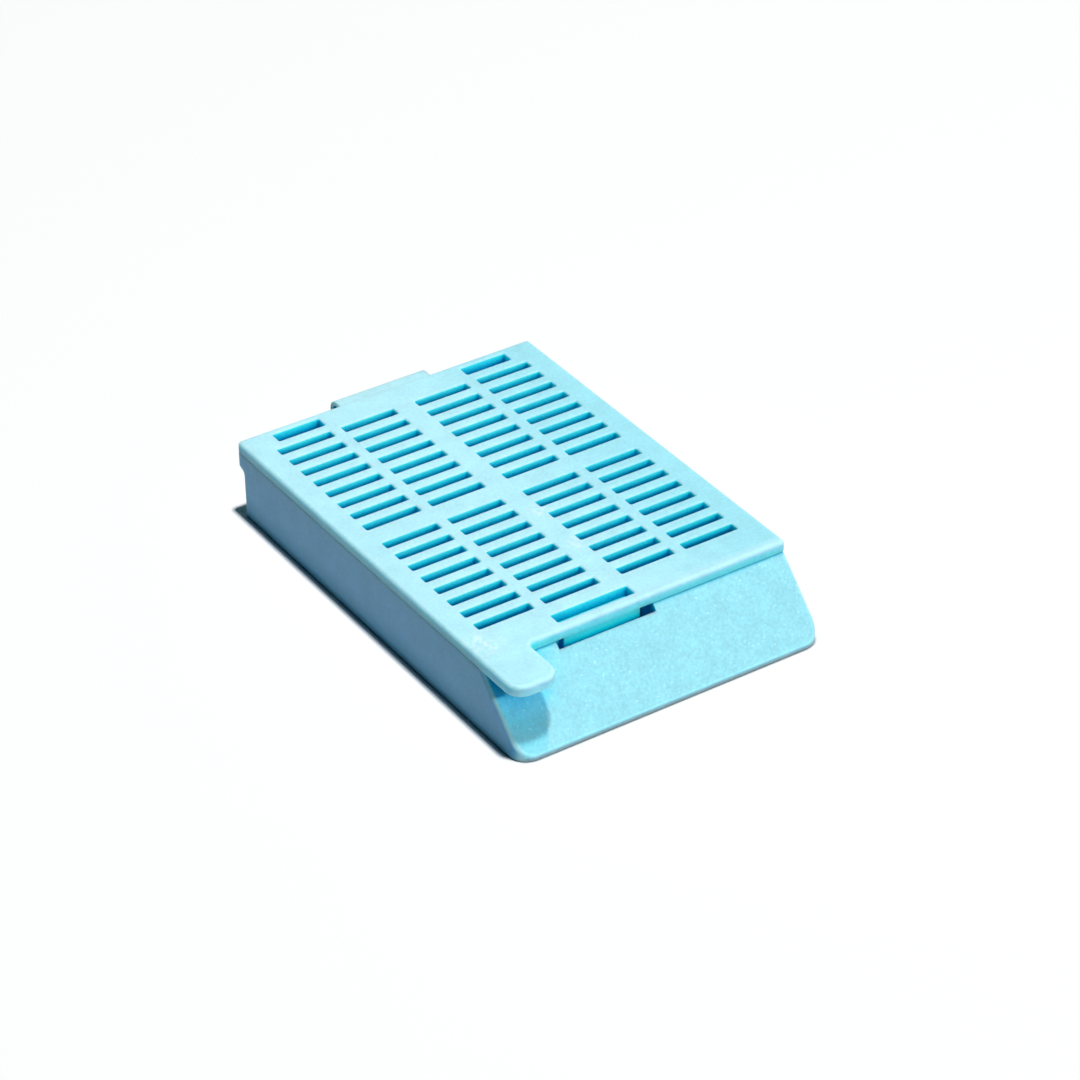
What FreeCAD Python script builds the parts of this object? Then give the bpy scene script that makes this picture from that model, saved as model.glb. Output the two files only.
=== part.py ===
import FreeCAD, Part
import math
import os
from FreeCAD import Vector

# Histology tissue cassette, millimetres, closed.
# X runs across the cassette, +Y points to the hinge and -Y to the writing panel, +Z is up.
# The origin is under the middle of the whole cassette, on the surface that it stands on.
# Base and lid are one moulding. They bend at the thin line where the two halves of the strap meet.

# Slot grid, the same in the lid and in the base's floor
SLOT_LENGTH = 5.06
SLOT_WIDTH = 0.90
BAR_WIDTH = 0.967          # bar between two slots of a column
COLUMN_WEB = 1.02          # web between the two columns of one half
CENTRE_WEB = 2.05          # web along the middle of the cassette
MIDDLE_BAND = 2.07         # band between the rear group of rows and the front group
ROWS_PER_GROUP = 8
SLOT_CORNER = 0.12         # upright corners of the slots
SLOT_CHAMFER = 0.10        # softened edge at a slot's mouth
GRID_MARGIN = 0.80         # from the outermost slots to the tray's walls

# Base
HEIGHT = 6.70              # whole height with the lid closed
FLOOR = 0.90
SIDE_WALL = 1.285
REAR_WALL = 1.00
CROSS_WALL = 1.00          # wall between the tray and the hollow writing panel
TRAY_CORNER = 1.00         # upright corners inside the tray
RIM_OVERHANG = 1.05        # how far the rear rim stands out behind the rear wall
RIM_FACE = 1.10            # height of the rim's upright face
RIM_SLOPE = 0.40           # drop of the rim's underside from its face to the wall
RIM_ROUND = 0.25
RIM_ROOT = 0.50
REAR_DRAFT = 0.10          # the rear wall leans in by this much at its foot
OUTER_CORNER = 0.40        # upright corners of the base's rear end and of the lid

# Writing panel
PANEL_STEP = 0.08          # the panel's top edge stands this far in front of the latch lip
PANEL_FOOT = 0.45          # height of the upright face under the panel
PANEL_ANGLE = 45.0         # degrees from the table
PANEL_THICKNESS = 0.90
PANEL_CORNER = 1.60        # upright corners at the panel's foot
PANEL_EDGE = 0.40          # round along the panel's sides and foot
DECK = 0.90                # bridge from the panel's top to the cross wall
RIB = 0.80                 # the two ribs behind the panel, one at each end of the latch channel

# Lid
LID_THICKNESS = 0.90
LID_EDGE = 0.32            # round along the lid's upper edge
FRONT_LEDGE = 0.17         # the lid's front edge stands this far out over the latch lip
PARTING_GAP = 0.08         # visible line between base and lid
LATCH_THICKNESS = 0.73     # the latches, up to the slots beside them
LATCH_SLOT_WIDTH = 1.17    # the slots that the mould's cores leave beside the latches
TAB_WIDTH = 4.22
TAB_REACH = 4.60           # how far the finger tab stands out over the writing panel
TAB_CORNER = 1.40
TAB_ROOT = 0.50

# Front latch: a lip under the lid's front edge, in a channel behind the panel's top edge
LATCH_CENTRE = -3.13
LATCH_LENGTH = 7.06
LIP_DROP = 2.10            # how far the lip hangs below the lid
LIP_LEAD = 0.25            # slope at the lip's toe
CHANNEL_WIDTH = 1.55       # from the lip's front face to the cross wall
CHANNEL_FRONT = 0.55       # from the lip's front face forward into the panel
CHANNEL_LEFT = 0.80        # room at the lip's ends
CHANNEL_RIGHT = 1.15
CHANNEL_CORNER = 0.10
BEAD = 0.30                # how far the latches' beads stand out
BEAD_HEIGHT = 0.60
CATCH_HEIGHT = 0.50        # catch rib above the lip's bead
CATCH_CLEARANCE = 0.12     # between bead and catch rib, and above the bead

# Rear lugs: one under each rear corner of the lid, in a pocket in the rear rim
LUG_CENTRE = 9.12
LUG_LENGTH = 4.40
LUG_DROP = 1.45
POCKET_CLEARANCE = 0.15    # beside, below and in front of a lug as it swings out

# Hinge strap
STRAP_WIDTH = 8.80
STRAP_THICKNESS = 0.40
STRAP_STRAIGHT = 0.62      # flat stretch behind the lid and behind the rim
STRAP_BELOW_TOP = 0.12     # the strap's top lies this far below the lid's top
STRAP_ABOVE_RIM = 0.10     # its lower end lies this far above the foot of the rim's face

# Places worked out from the sizes above
half_grid = CENTRE_WEB / 2 + 2 * SLOT_LENGTH + COLUMN_WEB
half_width = half_grid + GRID_MARGIN + SIDE_WALL
slot_pitch = SLOT_WIDTH + BAR_WIDTH
group_length = ROWS_PER_GROUP * slot_pitch - BAR_WIDTH
tray_length = 2 * group_length + MIDDLE_BAND + 2 * GRID_MARGIN
latch_length = RIM_OVERHANG + REAR_WALL + tray_length + CROSS_WALL + CHANNEL_WIDTH

lid_top = HEIGHT
lid_under = lid_top - LID_THICKNESS
base_top = lid_under - PARTING_GAP
panel_slope = math.tan(math.radians(PANEL_ANGLE))
panel_run = (base_top - PANEL_FOOT) / panel_slope

rim_foot = base_top - RIM_FACE
strap_top = lid_top - STRAP_BELOW_TOP
strap_bottom = rim_foot + STRAP_ABOVE_RIM
strap_radius = (strap_top - strap_bottom) / 2
strap_reach = STRAP_STRAIGHT + strap_radius

whole_length = latch_length + PANEL_STEP + panel_run + strap_reach
hinge_y = whole_length / 2
hinge_z = (strap_top + strap_bottom) / 2
rear_y = hinge_y - strap_reach
lip_face_y = rear_y - latch_length
lid_front_y = lip_face_y - FRONT_LEDGE
panel_top_y = lip_face_y - PANEL_STEP
front_y = panel_top_y - panel_run
wall_y = rear_y - RIM_OVERHANG
tray_rear_y = wall_y - REAR_WALL
tray_front_y = tray_rear_y - tray_length
cross_front_y = tray_front_y - CROSS_WALL
channel_left = LATCH_CENTRE - LATCH_LENGTH / 2 - CHANNEL_LEFT
channel_right = LATCH_CENTRE + LATCH_LENGTH / 2 + CHANNEL_RIGHT
lip_toe = lid_under - LIP_DROP
lug_toe = lid_under - LUG_DROP


def rounded_wire(corners, place):
    """A closed wire through (a, b, radius) corners, each rounded by its radius. place turns (a, b) into a point."""
    count = len(corners)
    edges = []
    ends = []
    for i, (a, b, radius) in enumerate(corners):
        here = Vector(a, b, 0)
        to_last = (Vector(*corners[i - 1][:2], 0) - here).normalize()
        to_next = (Vector(*corners[(i + 1) % count][:2], 0) - here).normalize()
        half_turn = to_last.getAngle(to_next) / 2
        reach = radius / math.tan(half_turn)
        start = here + to_last * reach
        end = here + to_next * reach
        if radius > 0:
            inward = (to_last + to_next).normalize()
            middle = here + inward * (radius / math.sin(half_turn) - radius)
            edges.append(Part.Arc(place(start), place(middle), place(end)).toShape())
        ends.append((place(start), place(end)))
    for i in range(count):
        edges.append(Part.LineSegment(ends[i][1], ends[(i + 1) % count][0]).toShape())
    return Part.Wire(Part.__sortEdges__(edges))


def plan_prism(corners, low, high):
    """A prism with upright sides over (x, y, radius) corners, from z = low to z = high."""
    wire = rounded_wire(corners, lambda p: Vector(p.x, p.y, low))
    return Part.Face(wire).extrude(Vector(0, 0, high - low))


def side_prism(corners, left, right):
    """A prism along X over (y, z, radius) corners, from x = left to x = right."""
    wire = rounded_wire(corners, lambda p: Vector(left, p.x, p.y))
    return Part.Face(wire).extrude(Vector(right - left, 0, 0))


def slot_cutter(x, y, length, width, bottom, top, mouth):
    """A slot through a plate, with a chamfer at its mouth: mouth is +1 for the plate's top, -1 for its underside."""
    a, b = length / 2, width / 2
    corners = [(x - a, y - b), (x + a, y - b), (x + a, y + b), (x - a, y + b)]
    through = plan_prism([(u, v, SLOT_CORNER) for u, v in corners], bottom, top)
    outline = max(through.Faces, key=lambda face: mouth * face.CenterOfMass.z).OuterWire
    flared = outline.makeOffset2D(SLOT_CHAMFER)
    outline.translate(Vector(0, 0, -mouth * SLOT_CHAMFER))
    return through.fuse(Part.makeLoft([outline, flared], True, True))


def grid_places():
    """The centres of the slots: four columns, each with a rear and a front group of rows."""
    inner = CENTRE_WEB / 2 + SLOT_LENGTH / 2
    outer = inner + SLOT_LENGTH + COLUMN_WEB
    first_row = tray_rear_y - GRID_MARGIN - SLOT_WIDTH / 2
    places = []
    for group in range(2):
        group_row = first_row - group * (group_length + MIDDLE_BAND)
        for row in range(ROWS_PER_GROUP):
            for x in (-outer, -inner, inner, outer):
                places.append((x, group_row - row * slot_pitch))
    return places


def grid_cutters(bottom, top, mouth):
    return [slot_cutter(x, y, SLOT_LENGTH, SLOT_WIDTH, bottom, top, mouth) for x, y in grid_places()]


def panel_y(z, depth=0.0):
    """The writing panel's plane at height z, or the plane depth below it."""
    return panel_top_y - (base_top - z) / panel_slope + depth / math.sin(math.radians(PANEL_ANGLE))


def strap_half(upper):
    """Half of the folded strap, from the lid's or the rim's rear face round to the thin hinge line."""
    turn = rear_y + STRAP_STRAIGHT
    inner = strap_radius - STRAP_THICKNESS
    sign = 1 if upper else -1
    root = rear_y - LATCH_THICKNESS / 2

    def point(y, z):
        return Vector(-STRAP_WIDTH / 2, y, hinge_z + sign * z)

    def bend(radius):
        half = radius * math.sqrt(0.5)
        return Part.Arc(point(turn, radius), point(turn + half, half), point(turn + radius, 0)).toShape()

    edges = [
        Part.LineSegment(point(root, strap_radius), point(turn, strap_radius)).toShape(),
        bend(strap_radius),
        Part.LineSegment(point(turn + strap_radius, 0), point(turn + inner, 0)).toShape(),
        bend(inner),
        Part.LineSegment(point(turn, inner), point(root, inner)).toShape(),
        Part.LineSegment(point(root, inner), point(root, strap_radius)).toShape(),
    ]
    face = Part.Face(Part.Wire(Part.__sortEdges__(edges)))
    return face.extrude(Vector(STRAP_WIDTH, 0, 0))


def base_outside():
    """The base's outer form: its side view, with the corners of its plan."""
    profile = [
        (front_y, 0, 0),
        (front_y, PANEL_FOOT, 0),
        (panel_top_y, base_top, 0),
        (rear_y, base_top, 0),
        (rear_y, rim_foot, RIM_ROUND),
        (wall_y, rim_foot - RIM_SLOPE, RIM_ROOT),
        (wall_y - REAR_DRAFT, 0, 0),
    ]
    plan = [
        (-half_width, front_y, PANEL_CORNER),
        (half_width, front_y, PANEL_CORNER),
        (half_width, rear_y, OUTER_CORNER),
        (-half_width, rear_y, OUTER_CORNER),
    ]
    body = side_prism(profile, -half_width, half_width).common(plan_prism(plan, 0, base_top))
    panel = panel_face(body)
    rounded = [e for e in panel.Edges if e.BoundBox.ZMin < base_top - RIM_SLOPE]
    return body.makeFillet(PANEL_EDGE, rounded)


def panel_face(body):
    """The body's largest sloping face that looks forward and up."""
    def forward_and_up(face):
        normal = face.normalAt(0, 0)
        return normal.y < -0.1 and normal.z > 0.1
    return max((f for f in body.Faces if forward_and_up(f)), key=lambda f: f.Area)


def panel_hollow():
    """The three bays behind the writing panel, open underneath, with a rib left on each side of the latch."""
    roof = base_top - DECK
    inside = half_width - SIDE_WALL
    spans = [(-inside, channel_left - RIB), (channel_left, channel_right), (channel_right + RIB, inside)]
    profile = [
        (cross_front_y, 0, 0),
        (cross_front_y, roof, 0),
        (panel_y(roof, PANEL_THICKNESS), roof, 0),
        (panel_y(0, PANEL_THICKNESS), 0, 0),
    ]
    return [side_prism(profile, left, right) for left, right in spans]


def latch_channel():
    """The channel that the lip hangs in, through the deck and the panel's top edge."""
    front = lip_face_y - CHANNEL_FRONT
    corners = [
        (channel_left, front, CHANNEL_CORNER),
        (channel_right, front, CHANNEL_CORNER),
        (channel_right, cross_front_y, 0),
        (channel_left, cross_front_y, 0),
    ]
    return plan_prism(corners, lip_toe - BEAD_HEIGHT, base_top + PARTING_GAP)


def catch_rib():
    """The rib on the cross wall above the lip's bead."""
    low = lip_toe + BEAD_HEIGHT + CATCH_CLEARANCE
    nose = lip_face_y + LATCH_THICKNESS + BEAD + CATCH_CLEARANCE
    profile = [
        (cross_front_y, low, 0),
        (cross_front_y, low + CATCH_HEIGHT, 0),
        (nose, low + CATCH_HEIGHT / 2, 0),
        (nose, low, 0),
    ]
    return side_prism(profile, LATCH_CENTRE - LATCH_LENGTH / 2, LATCH_CENTRE + LATCH_LENGTH / 2)


def lug_pocket(centre):
    """The pocket in the rear rim that a lug swings out of. Its front wall clears the lug's bead about the hinge."""
    swing = math.hypot(strap_reach + LATCH_THICKNESS + BEAD, hinge_z - lug_toe)
    front = hinge_y - swing - POCKET_CLEARANCE
    half = LUG_LENGTH / 2 + POCKET_CLEARANCE
    corners = [
        (centre - half, front, 0),
        (centre + half, front, 0),
        (centre + half, rear_y + RIM_OVERHANG, 0),
        (centre - half, rear_y + RIM_OVERHANG, 0),
    ]
    return plan_prism(corners, lug_toe - POCKET_CLEARANCE, base_top + PARTING_GAP)


def make_base():
    tray = plan_prism(
        [
            (-half_grid - GRID_MARGIN, tray_front_y, TRAY_CORNER),
            (half_grid + GRID_MARGIN, tray_front_y, TRAY_CORNER),
            (half_grid + GRID_MARGIN, tray_rear_y, TRAY_CORNER),
            (-half_grid - GRID_MARGIN, tray_rear_y, TRAY_CORNER),
        ],
        FLOOR,
        base_top + PARTING_GAP,
    )
    pockets = [lug_pocket(-LUG_CENTRE), lug_pocket(LUG_CENTRE)]
    base = base_outside().cut([tray, latch_channel(), *panel_hollow(), *pockets])
    base = base.fuse([strap_half(upper=False), catch_rib()])
    return base.cut(grid_cutters(0, FLOOR, -1))


def lid_plate():
    """The lid's plate with its finger tab, rounded along its upper edge."""
    tab_right = -half_width + TAB_WIDTH
    tab_tip = lid_front_y - TAB_REACH
    outline = [
        (-half_width, rear_y, OUTER_CORNER),
        (half_width, rear_y, OUTER_CORNER),
        (half_width, lid_front_y, OUTER_CORNER),
        (tab_right, lid_front_y, TAB_ROOT),
        (tab_right, tab_tip, TAB_CORNER),
        (-half_width, tab_tip, TAB_CORNER),
    ]
    plate = plan_prism(outline, lid_under, lid_top)
    upper_edge = [e for e in plate.Edges if e.BoundBox.ZMin > lid_top - LID_EDGE]
    return plate.makeFillet(LID_EDGE, upper_edge)


def latch_profile(face_y, inward, toe):
    """Side view of a latch: flush with the edge at face_y, with a bead at its toe that stands inward."""
    back = face_y + inward * LATCH_THICKNESS
    nose = back + inward * BEAD
    return [
        (face_y, lid_top - LID_EDGE, 0),
        (face_y, toe + LIP_LEAD, 0),
        (face_y + inward * LIP_LEAD, toe, 0),
        (back, toe, 0),
        (nose, toe + BEAD_HEIGHT / 2, 0),
        (back, toe + BEAD_HEIGHT, 0),
        (back, lid_top - LID_EDGE, 0),
    ]


def make_lid():
    lip = side_prism(
        latch_profile(lip_face_y, 1, lip_toe),
        LATCH_CENTRE - LATCH_LENGTH / 2,
        LATCH_CENTRE + LATCH_LENGTH / 2,
    )
    lugs = [
        side_prism(latch_profile(rear_y, -1, lug_toe), x - LUG_LENGTH / 2, x + LUG_LENGTH / 2)
        for x in (-LUG_CENTRE, LUG_CENTRE)
    ]
    lid = lid_plate().fuse([lip, *lugs, strap_half(upper=True)])

    slot_edge = LATCH_THICKNESS + LATCH_SLOT_WIDTH / 2
    slots = [(LATCH_CENTRE, lip_face_y + slot_edge, LATCH_LENGTH)]
    slots += [(x, rear_y - slot_edge, LUG_LENGTH) for x in (-LUG_CENTRE, LUG_CENTRE)]
    cutters = [slot_cutter(x, y, length, LATCH_SLOT_WIDTH, lid_under, lid_top, 1) for x, y, length in slots]
    return lid.cut(cutters + grid_cutters(lid_under, lid_top, 1))


os.makedirs("parts", exist_ok=True)
for name, shape in (("base", make_base()), ("lid", make_lid())):
    shape = shape.removeSplitter()
    solid = shape.Solids[0] if len(shape.Solids) == 1 else shape
    solid.exportStep(os.path.join("parts", name + ".step"))
    box = solid.BoundBox
    print(name, "solids", len(shape.Solids), "valid", solid.isValid(), "volume", round(solid.Volume, 2))
    print("  x", round(box.XMin, 3), round(box.XMax, 3), "y", round(box.YMin, 3), round(box.YMax, 3),
          "z", round(box.ZMin, 3), round(box.ZMax, 3))
print("hinge line y", round(hinge_y, 4), "z", round(hinge_z, 4))
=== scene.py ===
import math
import bpy
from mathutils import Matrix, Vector

# Tissue cassette moulded in pale cyan acetal, closed, on a white floor. Metres, +Z up, -Y to the writing panel.
MM = 0.001

# Camera
CAMERA_PLACE = (-0.13905, -0.20979, 0.17588)
CAMERA_TURN = (55.498, 0.0, -33.923)      # degrees
CAMERA_LENS = 127.2                       # millimetres
CAMERA_SENSOR = 36                        # millimetres wide
CAMERA_NEAR = 0.01                        # metres, what is nearer isn't seen

# Light. A level is the light that a face turned to the lamp gets, where 1 shows a colour as it is written.
KEY_LEVEL = 1.0
KEY_WAY = (0.073, -0.065, 1.0)            # from the object to the lamp
KEY_SIZE = 0.100                          # metres across
FRONT_LEVEL = 0.52
FRONT_WAY = (0.15, -0.85, 0.50)
FRONT_SIZE = 0.100
LAMP_AWAY = 1.20                          # metres from the object
WORLD_COLOUR = (0.010, 0.015, 0.017)      # for the light that it sends to the object
WHITE = (1.0, 1.0, 1.0)
BOUNCES = 24                              # light crosses the chamber many times

# Floor
FLOOR_SIZE = 3.0
FLOOR_DROP = 0.00003                      # keeps the floor off the base's underside
FLOOR_ROUGHNESS = 0.9
FLOOR_COLOUR = (0.99, 0.99, 0.99)
FLOOR_BOUNCE = (0.42, 0.54, 0.56)         # its colour for the light that it sends to the object
FLOOR_CONTACT_SHADE = (0.12, 0.13, 0.15)        # painted contact shade: its colour right against an upright wall
CONTACT_SHADE_REACH = 0.80                      # millimetres that are searched for the wall
CONTACT_SHADE_OPEN = (0.50, 0.70)               # how open the floor is where that colour is whole, and where it has ended

# Plastic
SCATTER = (0.70, 0.80, 0.80)              # millimetres that red, green and blue light spread in it
IOR = 1.48
ROUGHNESS = 0.42
ROUGHNESS_SPREAD = 0.06                   # up and down from there, in patches
PATCH_SIZE = 4.0                          # millimetres
PATCH_DETAIL = 3.0                        # octaves of noise, here and in every other DETAIL
GLOSS = 0.30                              # its specular level in the open
GLOSS_OPEN = (0.45, 0.80)                 # how open a point is where its gloss begins, and where it is whole

# How open a point is runs from 0, shut in, to 1. The painted shade colours are for shut-in points, the others for open
# ones.
OPEN_REACH = 20.0                         # millimetres that are searched for what shuts a point in
OPEN_SAMPLES = 8
RECESS_SHADE_END = (0.76, 0.88)                   # how open a point is where the painted shade colours begin to end, and have ended

# Which way a face looks: how far its normal leans that way where it begins to count, and where it counts in full
SIDE_LEAN = (0.75, 0.98)                  # to the left or right
FRONT_LEAN = (0.72, 0.90)                 # to the front or rear
PANEL_LEAN = (0.35, 0.50)                 # to the front and up at once: the one lean times the other

# Places in the closed part, in millimetres: up from the floor, to the right and to the rear of its middle.
# A pair says where a change begins, and where it is whole.
TRAY_TOP = 5.60                           # as high as the tray goes
TRAY_FRONT = -14.7                        # to the rear, where the tray begins
LID_BOTTOM = 5.80                         # above it is the lid, below it the base with the lid's latch lip
LID_FRONT = -16.25                        # to the rear, where the lid's front is
STRAP_FRONT = 21.5                        # to the rear, where the hinge strap begins

# Level faces
FACE_COLOUR = (0.385, 0.71, 0.79)
RIGHT_SHADE_COLOUR = (0.29, 0.65, 0.74)         # painted shade: level faces darker towards the right, where the light falls off
RIGHT_SHADE_SPAN = (-1.0, 13.0)                 # to the right
EDGE_HIGHLIGHT_COLOUR = (0.40, 0.69, 0.79)          # painted highlight: the lid's top paler along its front edge, to the right of the tab
EDGE_HIGHLIGHT_SPAN = (15.2, 16.1)                  # to the front
EDGE_HIGHLIGHT_RIGHT_SPAN = (-10.0, -7.0)           # to the right
STRAP_COLOUR = (0.31, 0.77, 0.95)         # the thin strap, which the floor shines through

# Scuffs on the lid's top
SCUFF_COLOUR = (0.60, 0.77, 0.83)
SCUFF = 0.85                              # how much of the colour a mark takes
SCUFF_SIZE = 0.45                         # millimetres between the marks of a scuff
SCUFF_DETAIL = 4.0
SCUFF_NOISE = (0.42, 0.66)                # how high the noise is where a mark begins, and where it is whole
SCUFF_CORE = 0.2                          # the share of a scuff's reach in which it doesn't fade
# Millimetres to the right and to the rear, and how far each reaches
SCUFFS = (
    (-12.8, -14.6, 2.2),
    (0.5, -2.1, 1.5),
    (0.4, -7.4, 1.3),
)

# Writing panel: painted shade over it, a painted shadow line under the lid, and the tab's shade
# painted shade: the panel darker than level faces
PANEL_SHADED_COLOUR = (0.28, 0.635, 0.725)
PANEL_TOP_SHADOW_COLOUR = (0.08, 0.63, 0.77)     # painted shadow line: its upper edge, right under the lid
PANEL_TOP_SHADOW_SPAN = (5.50, 5.70)             # up
UNDER_TAB_COLOUR = (0.125, 0.63, 0.78)    # in the tab's shade, which light reaches through the plastic
UNDER_TAB_OPEN = (0.93, 0.985)            # how open the panel is where its shade begins to end, and has ended
UNDER_TAB_SPAN = (-12.20, -11.80)         # to the right at the floor, where the shaded part begins to end, and has
UNDER_TAB_LEAN = 0.6                      # how far that edge moves to the right for each millimetre up
TAB_SPAN = (-10.10, -9.70)                # to the right, where the shaded part ends at any height

# Faces to the left and right: painted shade, bluer than level faces, and darker on the base
SIDE_SHADE_COLOUR = (0.185, 0.565, 0.895)       # the base's
SIDE_FOOT_SHADE_COLOUR = (0.10, 0.46, 0.76)     # painted shade, darker still down at the floor
SIDE_FOOT_SHADE_SPAN = (0.0, 2.8)               # up, where that begins to end, and has ended
LID_SIDE_SHADE_COLOUR = (0.30, 0.76, 1.00)      # the lid's

# Faces to the front and rear: painted light and shade
FRONT_TOP_HIGHLIGHT_COLOUR = (0.39, 0.66, 0.78)         # painted highlight at the lid's top edge
FRONT_TOP_HIGHLIGHT_SPAN = (5.90, 6.60)                 # up
FRONT_SHADE_COLOURS = (                         # painted shade below it, by how open a point is
    (0.86, (0.10, 0.83, 1.00)),
    (0.98, (0.33, 0.80, 1.00)),
)
FOOT_SHADE_COLOUR = (0.30, 0.49, 0.58)          # painted shade at the panel's foot
FOOT_SHADE_SPAN = (0.18, 0.48)                  # up, where that begins to end, and has ended

# Painted shade and glow, by how open a point is: darker and more saturated where shut in, as light comes to it through
# the plastic
RECESS_SHADE_COLOURS = (
    (0.22, (0.00, 0.44, 0.70)),
    (0.30, (0.00, 0.65, 0.92)),
    (0.38, (0.02, 0.85, 1.00)),
    (0.50, (0.10, 0.94, 1.00)),
    (0.62, (0.34, 0.88, 1.00)),
    (0.70, (0.41, 0.82, 1.00)),
    (0.80, (0.42, 0.77, 1.00)),
)
# The same in the tray, which is pale as the rest once it lies open
TRAY_SHADE_COLOURS = (
    (0.22, (0.00, 0.44, 0.70)),
    (0.30, (0.00, 0.65, 0.92)),
    (0.38, (0.03, 0.82, 0.98)),
    (0.50, (0.22, 0.82, 0.92)),
    (0.62, (0.36, 0.79, 0.88)),
    (0.80, (0.43, 0.76, 0.85)),
)
# The same on the panel
PANEL_RECESS_SHADE = (
    (0.50, (0.00, 0.45, 0.70)),
    (0.72, (0.06, 0.62, 0.78)),
    (0.80, (0.17, 0.64, 0.76)),
    (0.88, (0.28, 0.635, 0.725)),
)
# The same on the panel under the tab
UNDER_TAB_RECESS_SHADE = (
    (0.40, (0.00, 0.34, 0.60)),
    (0.55, (0.02, 0.47, 0.73)),
    (0.66, (0.18, 0.71, 0.95)),
    (0.80, (0.125, 0.65, 0.86)),
)
# The same on the latch lip and the lid's front
LIP_RECESS_SHADE = (
    (0.30, (0.00, 0.80, 1.00)),
    (0.50, (0.01, 1.00, 1.00)),
    (0.65, (0.17, 0.96, 1.00)),
    (0.74, (0.05, 0.84, 1.00)),
)

# Grain: the matt texture of the moulded faces
GRAIN_SIZE = 0.28                         # millimetres
GRAIN_DETAIL = 2.0
GRAIN_DEPTH = 0.004                       # millimetres
FACE_GRAIN = 0.12                         # how much lighter and darker it makes the colour
PANEL_GRAIN = 0.18                        # and how much on the panel
MOTTLE = 0.11                             # how much lighter and darker broad clouds make the colour
MOTTLE_SIZE = 1.5                         # millimetres
MOTTLE_DETAIL = 3.0
GLINT = 0.10                              # painted glint: how much lighter a bright speck on the panel is
GLINT_WHITE = 0.13                        # how much of it is white
GLINT_SIZE = 0.20                         # millimetres between specks
GLINT_DETAIL = 0.0
GLINT_NOISE = (0.65, 0.85)                # how high the noise is where a speck begins, and where it is whole


def node(tree, kind, **settings):
    """A new node of that kind, with its settings."""
    made = tree.nodes.new(kind)
    for name, value in settings.items():
        setattr(made, name, value)
    return made


def blend(tree, factor, low, high):
    """A colour between low and high. Each is a colour or an output. Returns the colour output."""
    mix = node(tree, "ShaderNodeMix", data_type="RGBA")
    tree.links.new(factor, mix.inputs["Factor"])
    for name, value in (("A", low), ("B", high)):
        if isinstance(value, tuple):
            mix.inputs[name].default_value = (*value, 1)
        else:
            tree.links.new(value, mix.inputs[name])
    return mix.outputs["Result"]


def smooth(tree, value, span, unit=1.0):
    """0 where value is below the span's low end, 1 above its high end, smooth between."""
    step = node(tree, "ShaderNodeMapRange", interpolation_type="SMOOTHSTEP")
    step.inputs["From Min"].default_value = span[0] * unit
    step.inputs["From Max"].default_value = span[1] * unit
    tree.links.new(value, step.inputs["Value"])
    return step.outputs["Result"]


def maths(tree, operation, a, b=0.0):
    """One operation on numbers or outputs. Returns its output."""
    made = node(tree, "ShaderNodeMath", operation=operation)
    for i, value in enumerate((a, b)):
        if isinstance(value, float):
            made.inputs[i].default_value = value
        else:
            tree.links.new(value, made.inputs[i])
    return made.outputs[0]


def ramp(tree, value, colours):
    """The colours at their places, blended between. Returns the colour output."""
    made = node(tree, "ShaderNodeValToRGB")
    stops = made.color_ramp.elements
    while len(stops) < len(colours):
        stops.new(0.5)
    for stop, (place, colour) in zip(stops, colours):
        stop.position = place
        stop.color = (*colour, 1)
    tree.links.new(value, made.inputs["Fac"])
    return made.outputs["Color"]


def noise(tree, size, detail):
    """Noise from 0 to 1, about 0.5, fixed in the piece. Its size is in millimetres."""
    texture = node(tree, "ShaderNodeTexNoise")
    texture.inputs["Scale"].default_value = 1 / (size * MM)
    texture.inputs["Detail"].default_value = detail
    tree.links.new(node(tree, "ShaderNodeTexCoord").outputs["Object"], texture.inputs["Vector"])
    return texture.outputs["Fac"]


def around_one(tree, value, spread):
    """1 where value is 0.5, up to spread more or less where it is 1 or 0."""
    swing = maths(tree, "MULTIPLY", maths(tree, "SUBTRACT", value, 0.5), maths(tree, "MULTIPLY", spread, 2.0))
    return maths(tree, "ADD", swing, 1.0)


def scaled(tree, colour, factor):
    """The colour times a number."""
    product = node(tree, "ShaderNodeVectorMath", operation="SCALE")
    tree.links.new(colour, product.inputs[0])
    tree.links.new(factor, product.inputs["Scale"])
    return product.outputs[0]


def openness(tree, reach, samples):
    """How open a point is, from 0, shut in, to 1, when so many millimetres about it are searched."""
    finder = node(tree, "ShaderNodeAmbientOcclusion", samples=samples)
    finder.inputs["Distance"].default_value = reach * MM
    return finder.outputs["AO"]


def places(tree):
    """How far to the right, to the rear and up a point lies, in metres. Returns three outputs."""
    parts = node(tree, "ShaderNodeSeparateXYZ")
    tree.links.new(node(tree, "ShaderNodeTexCoord").outputs["Object"], parts.inputs[0])
    return parts.outputs["X"], parts.outputs["Y"], parts.outputs["Z"]


def facing(tree, up):
    """How far a face looks to a side or the front, or is the panel's. Returns three outputs, 0 to 1."""
    parts = node(tree, "ShaderNodeSeparateXYZ")
    tree.links.new(node(tree, "ShaderNodeTexCoord").outputs["Normal"], parts.inputs[0])
    side = smooth(tree, maths(tree, "ABSOLUTE", parts.outputs["X"]), SIDE_LEAN)
    front = smooth(tree, maths(tree, "ABSOLUTE", parts.outputs["Y"]), FRONT_LEAN)
    slant = maths(tree, "ABSOLUTE", maths(tree, "MULTIPLY", parts.outputs["Y"], parts.outputs["Z"]))
    below_lid = maths(tree, "LESS_THAN", up, LID_BOTTOM * MM)
    return side, front, maths(tree, "MULTIPLY", smooth(tree, slant, PANEL_LEAN), below_lid)


def below_tab(tree, right, up):
    """1 in the part of the panel that the tab shades, 0 beside it."""
    leaning = maths(tree, "SUBTRACT", right, maths(tree, "MULTIPLY", up, UNDER_TAB_LEAN))
    beside = maths(tree, "MAXIMUM", smooth(tree, leaning, UNDER_TAB_SPAN, MM), smooth(tree, right, TAB_SPAN, MM))
    return maths(tree, "SUBTRACT", 1.0, beside)


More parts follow.
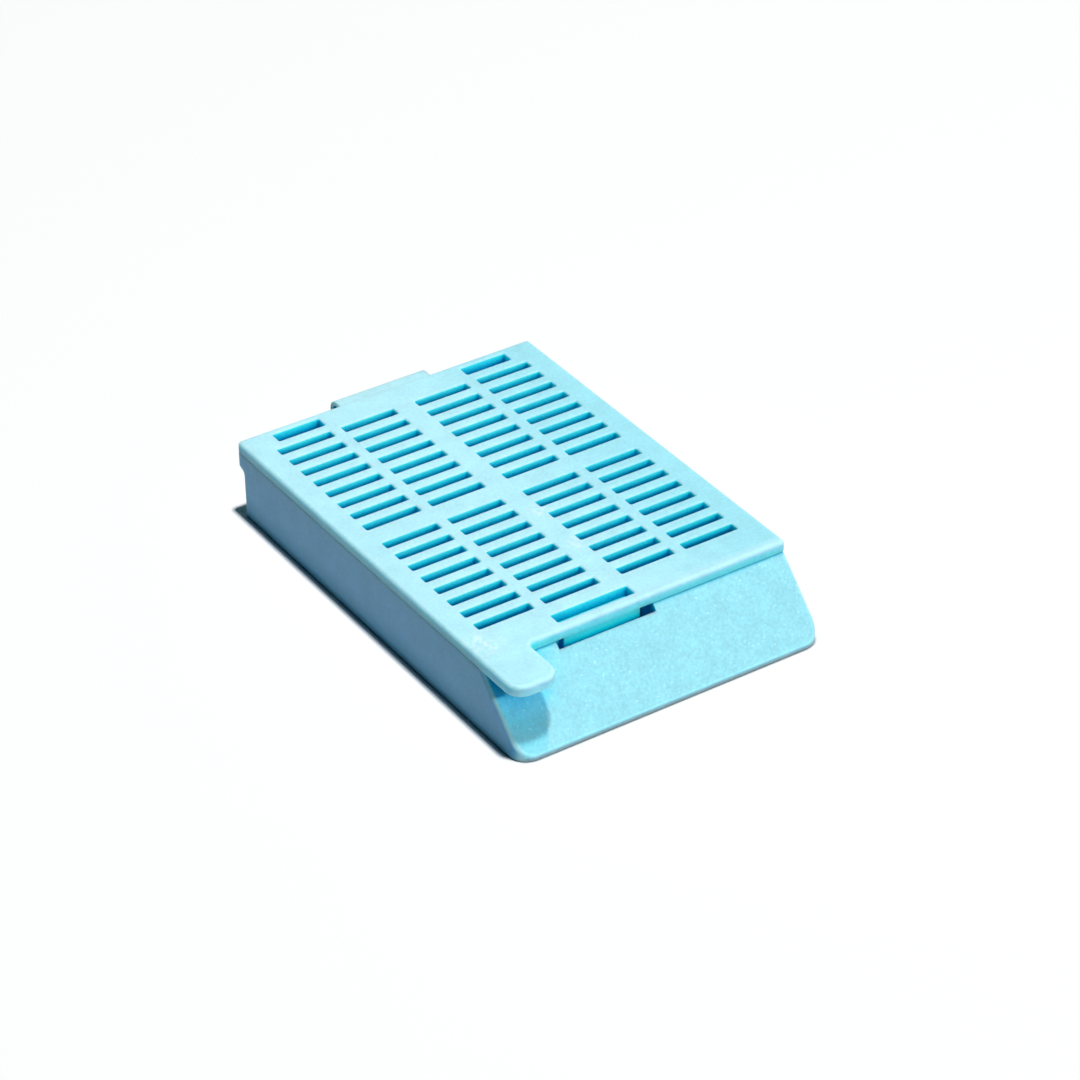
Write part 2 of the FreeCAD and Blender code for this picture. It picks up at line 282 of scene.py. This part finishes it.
def scuffed(tree, right, rear, on_lid):
    """How much a point of the lid's top is rubbed, from 0 to 1."""
    place = node(tree, "ShaderNodeCombineXYZ")
    tree.links.new(right, place.inputs["X"])
    tree.links.new(rear, place.inputs["Y"])
    rubbed = 0.0
    for x, y, reach in SCUFFS:
        distance = node(tree, "ShaderNodeVectorMath", operation="DISTANCE")
        tree.links.new(place.outputs[0], distance.inputs[0])
        distance.inputs[1].default_value = (x * MM, y * MM, 0)
        far = smooth(tree, distance.outputs["Value"], (SCUFF_CORE * reach, reach), MM)
        rubbed = maths(tree, "MAXIMUM", rubbed, maths(tree, "SUBTRACT", 1.0, far))
    marks = smooth(tree, noise(tree, SCUFF_SIZE, SCUFF_DETAIL), SCUFF_NOISE)
    return maths(tree, "MULTIPLY", maths(tree, "MULTIPLY", rubbed, marks), on_lid)


def level_tint(tree, right, rear, on_lid):
    """The colour of level faces in the open, with painted shade towards the right, a painted highlight along the lid's
    front edge, and scuffs.
    """
    # painted shade: level faces darker towards the right
    colour = blend(tree, smooth(tree, right, RIGHT_SHADE_SPAN, MM), FACE_COLOUR, RIGHT_SHADE_COLOUR)
    # painted highlight along the lid's front edge, to the right of the tab
    edge = maths(tree, "MULTIPLY", smooth(tree, maths(tree, "MULTIPLY", rear, -1.0), EDGE_HIGHLIGHT_SPAN, MM),
                 smooth(tree, right, EDGE_HIGHLIGHT_RIGHT_SPAN, MM))
    colour = blend(tree, edge, colour, EDGE_HIGHLIGHT_COLOUR)
    scuff = maths(tree, "MULTIPLY", scuffed(tree, right, rear, on_lid), SCUFF)
    return blend(tree, scuff, colour, SCUFF_COLOUR)


def panel_tint(tree, how_open, under_tab, up):
    """The panel's colour in the open, with painted shade, a painted shadow line under the lid, and the tab's shade."""
    bare = blend(tree, smooth(tree, up, PANEL_TOP_SHADOW_SPAN, MM), PANEL_SHADED_COLOUR, PANEL_TOP_SHADOW_COLOUR)
    shade = blend(tree, smooth(tree, how_open, UNDER_TAB_OPEN), UNDER_TAB_COLOUR, PANEL_SHADED_COLOUR)
    return blend(tree, under_tab, bare, shade)


def front_light_and_shade(tree, how_open, up):
    """The painted light and shade of faces to the front and rear in the open: a highlight at the lid's top edge, shade
    below by how open a point is, and shade at the panel's foot.
    """
    colour = ramp(tree, how_open, FRONT_SHADE_COLOURS)
    colour = blend(tree, smooth(tree, up, FRONT_TOP_HIGHLIGHT_SPAN, MM), colour, FRONT_TOP_HIGHLIGHT_COLOUR)
    return blend(tree, smooth(tree, up, FOOT_SHADE_SPAN, MM), FOOT_SHADE_COLOUR, colour)


def side_shade(tree, up, on_lid):
    """The painted shade of faces to the left and right in the open, darker down at the floor."""
    base = blend(tree, smooth(tree, up, SIDE_FOOT_SHADE_SPAN, MM), SIDE_FOOT_SHADE_COLOUR, SIDE_SHADE_COLOUR)
    return blend(tree, on_lid, base, LID_SIDE_SHADE_COLOUR)


def open_tint(tree, how_open, side, front, panel, under_tab, right, rear, up):
    """The colour in the open, with painted light and shade: paler on level faces than on the panel, the front and the
    sides.
    """
    on_lid = maths(tree, "GREATER_THAN", up, LID_BOTTOM * MM)
    colour = level_tint(tree, right, rear, on_lid)
    colour = blend(tree, panel, colour, panel_tint(tree, how_open, under_tab, up))
    colour = blend(tree, front, colour, front_light_and_shade(tree, how_open, up))
    colour = blend(tree, side, colour, side_shade(tree, up, on_lid))
    return blend(tree, maths(tree, "GREATER_THAN", rear, STRAP_FRONT * MM), colour, STRAP_COLOUR)


def recess_shade(tree, how_open, front, panel, under_tab, rear, up):
    """The painted shade of shut-in points: of the slots, or of the tray, the panel, and the latch lip with the lid's
    front.
    """
    in_tray = maths(tree, "MULTIPLY", maths(tree, "LESS_THAN", up, TRAY_TOP * MM),
                    maths(tree, "GREATER_THAN", rear, TRAY_FRONT * MM))
    colour = blend(tree, in_tray, ramp(tree, how_open, RECESS_SHADE_COLOURS), ramp(tree, how_open, TRAY_SHADE_COLOURS))
    on_panel = blend(tree, under_tab, ramp(tree, how_open, PANEL_RECESS_SHADE), ramp(tree, how_open, UNDER_TAB_RECESS_SHADE))
    colour = blend(tree, panel, colour, on_panel)
    at_latch = maths(tree, "MULTIPLY", maths(tree, "LESS_THAN", up, LID_BOTTOM * MM),
                     maths(tree, "LESS_THAN", rear, TRAY_FRONT * MM))
    at_front = maths(tree, "LESS_THAN", rear, LID_FRONT * MM)
    lip = maths(tree, "MULTIPLY", front, maths(tree, "MAXIMUM", at_latch, at_front))
    return blend(tree, lip, colour, ramp(tree, how_open, LIP_RECESS_SHADE))


def grained(tree, colour, grain, panel):
    """The colour with grain, clouds and painted glints. Grain is stronger on the panel, and the glints are only there.
    """
    amount = maths(tree, "ADD", maths(tree, "MULTIPLY", panel, PANEL_GRAIN - FACE_GRAIN), FACE_GRAIN)
    clouds = around_one(tree, noise(tree, MOTTLE_SIZE, MOTTLE_DETAIL), MOTTLE)
    factor = maths(tree, "MULTIPLY", around_one(tree, grain, amount), clouds)
    # painted glints: bright specks on the panel
    glint = maths(tree, "MULTIPLY", smooth(tree, noise(tree, GLINT_SIZE, GLINT_DETAIL), GLINT_NOISE), panel)
    lighter = maths(tree, "ADD", maths(tree, "MULTIPLY", glint, GLINT), 1.0)
    colour = scaled(tree, colour, maths(tree, "MULTIPLY", factor, lighter))
    return blend(tree, maths(tree, "MULTIPLY", glint, GLINT_WHITE), colour, WHITE)


def plastic():
    """Satin acetal: pale cyan, translucent, with light and shade painted into its colour by place, by the way a face
    looks and by how open a point is.
    """
    material = bpy.data.materials.new("acetal")
    material.use_nodes = True
    tree = material.node_tree
    shader = tree.nodes["Principled BSDF"]
    shader.subsurface_method = "RANDOM_WALK"
    shader.inputs["IOR"].default_value = IOR
    shader.inputs["Subsurface Weight"].default_value = 1.0
    shader.inputs["Subsurface Radius"].default_value = SCATTER
    shader.inputs["Subsurface Scale"].default_value = MM

    how_open = openness(tree, OPEN_REACH, OPEN_SAMPLES)
    right, rear, up = places(tree)
    side, front, panel = facing(tree, up)
    under_tab = below_tab(tree, right, up)
    shade_colour = recess_shade(tree, how_open, front, panel, under_tab, rear, up)
    open_colour = open_tint(tree, how_open, side, front, panel, under_tab, right, rear, up)
    # painted shade where a point is shut in, the open colours elsewhere
    colour = blend(tree, smooth(tree, how_open, RECESS_SHADE_END), shade_colour, open_colour)
    grain = noise(tree, GRAIN_SIZE, GRAIN_DETAIL)
    tree.links.new(grained(tree, colour, grain, panel), shader.inputs["Base Color"])

    gloss = maths(tree, "MULTIPLY", smooth(tree, how_open, GLOSS_OPEN), GLOSS)
    tree.links.new(gloss, shader.inputs["Specular IOR Level"])
    patches = maths(tree, "MULTIPLY", noise(tree, PATCH_SIZE, PATCH_DETAIL), 2 * ROUGHNESS_SPREAD)
    roughness = maths(tree, "ADD", patches, ROUGHNESS - ROUGHNESS_SPREAD)
    tree.links.new(roughness, shader.inputs["Roughness"])
    bump = node(tree, "ShaderNodeBump")
    bump.inputs["Distance"].default_value = GRAIN_DEPTH * MM
    tree.links.new(grain, bump.inputs["Height"])
    tree.links.new(bump.outputs["Normal"], shader.inputs["Normal"])
    return material


def shown(tree):
    """1 for what the camera sees straight, in gloss or through glass, 0 for light on its way."""
    path = node(tree, "ShaderNodeLightPath")
    mirrored = maths(tree, "MAXIMUM", path.outputs["Is Glossy Ray"], path.outputs["Is Transmission Ray"])
    return maths(tree, "MAXIMUM", path.outputs["Is Camera Ray"], mirrored)


def floor_material():
    """Matt white, with painted contact shade right against a wall, and darker to the light that it sends to the object.
    """
    material = bpy.data.materials.new("floor")
    material.use_nodes = True
    tree = material.node_tree
    shader = tree.nodes["Principled BSDF"]
    shader.inputs["Roughness"].default_value = FLOOR_ROUGHNESS
    shader.inputs["Specular IOR Level"].default_value = 0.0
    # painted contact shade: the floor darker where an upright wall shuts it in
    clear_of_contact_shade = smooth(tree, openness(tree, CONTACT_SHADE_REACH, OPEN_SAMPLES), CONTACT_SHADE_OPEN)
    seen = blend(tree, clear_of_contact_shade, FLOOR_CONTACT_SHADE, FLOOR_COLOUR)
    tree.links.new(blend(tree, shown(tree), FLOOR_BOUNCE, seen), shader.inputs["Base Color"])
    return material


def make_floor():
    """The floor, just under the object."""
    bpy.ops.mesh.primitive_plane_add(size=FLOOR_SIZE, location=(0, 0, -FLOOR_DROP))
    floor = bpy.context.object
    floor.name = "floor"
    floor.data.materials.append(floor_material())
    floor.visible_shadow = False          # so that it doesn't count as something that shuts a point in


def make_world():
    """White where it is seen, and nearly dark to the object."""
    world = bpy.data.worlds.new("studio")
    bpy.context.scene.world = world
    world.use_nodes = True
    tree = world.node_tree
    background = tree.nodes["Background"]
    tree.links.new(blend(tree, shown(tree), WORLD_COLOUR, WHITE), background.inputs["Color"])


def make_lamp(name, way, level, size):
    """A round lamp LAMP_AWAY from the object, turned to it."""
    data = bpy.data.lights.new(name, "AREA")
    data.shape = "DISK"
    data.size = size
    data.energy = level * math.pi * math.pi * LAMP_AWAY ** 2      # watts that give a face there that level
    lamp = bpy.data.objects.new(name, data)
    way = Vector(way).normalized()
    lamp.location = way * LAMP_AWAY
    lamp.rotation_euler = way.to_track_quat("Z", "Y").to_euler()
    bpy.context.scene.collection.objects.link(lamp)
    return lamp


def light_only(lamp, pieces):
    """Keeps the lamp off everything but the pieces, so that the floor shows the key's shadow alone."""
    lit = bpy.data.collections.new(lamp.name + "_lit")
    for piece in pieces:
        lit.objects.link(piece)
    lamp.light_linking.receiver_collection = lit


def make_camera():
    """The photo's camera, sharp at every distance."""
    data = bpy.data.cameras.new("camera")
    data.lens = CAMERA_LENS
    data.sensor_width = CAMERA_SENSOR
    data.clip_start = CAMERA_NEAR
    camera = bpy.data.objects.new("camera", data)
    camera.location = CAMERA_PLACE
    camera.rotation_euler = [math.radians(angle) for angle in CAMERA_TURN]
    bpy.context.scene.collection.objects.link(camera)
    bpy.context.scene.camera = camera


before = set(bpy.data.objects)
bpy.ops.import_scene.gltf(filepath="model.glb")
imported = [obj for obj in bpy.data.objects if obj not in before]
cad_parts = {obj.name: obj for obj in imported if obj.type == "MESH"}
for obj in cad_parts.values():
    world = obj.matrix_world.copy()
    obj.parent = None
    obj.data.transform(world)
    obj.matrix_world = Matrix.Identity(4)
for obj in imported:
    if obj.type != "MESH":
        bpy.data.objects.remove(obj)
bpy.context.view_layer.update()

acetal = plastic()
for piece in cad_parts.values():
    for slot in piece.material_slots:
        slot.material = acetal

make_floor()
make_world()
make_lamp("key", KEY_WAY, KEY_LEVEL, KEY_SIZE)
light_only(make_lamp("front", FRONT_WAY, FRONT_LEVEL, FRONT_SIZE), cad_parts.values())
make_camera()
scene = bpy.context.scene
scene.cycles.max_bounces = BOUNCES
scene.cycles.diffuse_bounces = BOUNCES
scene.view_settings.view_transform = "Standard"
